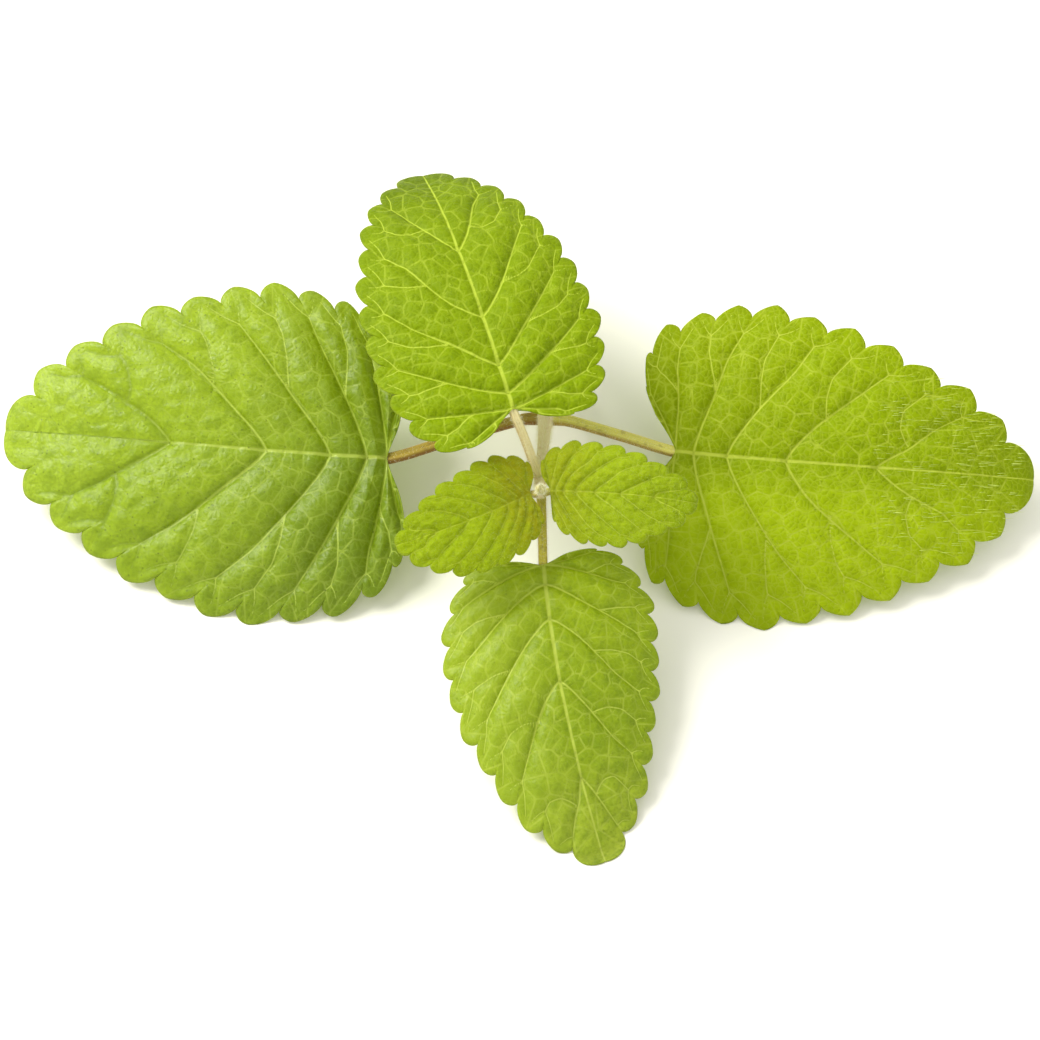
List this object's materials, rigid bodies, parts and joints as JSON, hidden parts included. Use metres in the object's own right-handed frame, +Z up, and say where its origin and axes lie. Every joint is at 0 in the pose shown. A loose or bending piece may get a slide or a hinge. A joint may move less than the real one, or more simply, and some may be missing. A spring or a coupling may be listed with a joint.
{
  "type": "lemon balm sprig",
  "caption": "Cut lemon balm shoot tip lying on a surface: short square stem, crossed pairs of heart-shaped toothed leaves on petioles, and a small bud.",
  "frame": {"origin": "on the resting surface, under the middle of the sprig's bounding box", "axes": "+X from the left large leaf's tip to the right one's, +Y toward the back leaf and the stem's cut end, +Z up"},
  "size_m": [0.1612, 0.1096, 0.0314],
  "materials": {
    "stem": "matte",
    "leaf_large_left": "satin",
    "leaf_large_right": "satin",
    "leaf_medium_back": "satin",
    "leaf_medium_front": "satin",
    "leaf_small_left": "satin",
    "leaf_small_right": "satin",
    "bud": "matte"
  },
  "bodies": {
    "root": {"stem": "stem", "leaf_large_left": "leaf_large_left", "leaf_large_right": "leaf_large_right", "leaf_medium_back": "leaf_medium_back", "leaf_medium_front": "leaf_medium_front", "leaf_small_left": "leaf_small_left", "leaf_small_right": "leaf_small_right", "bud": "bud"}
  },
  "joints": []
}
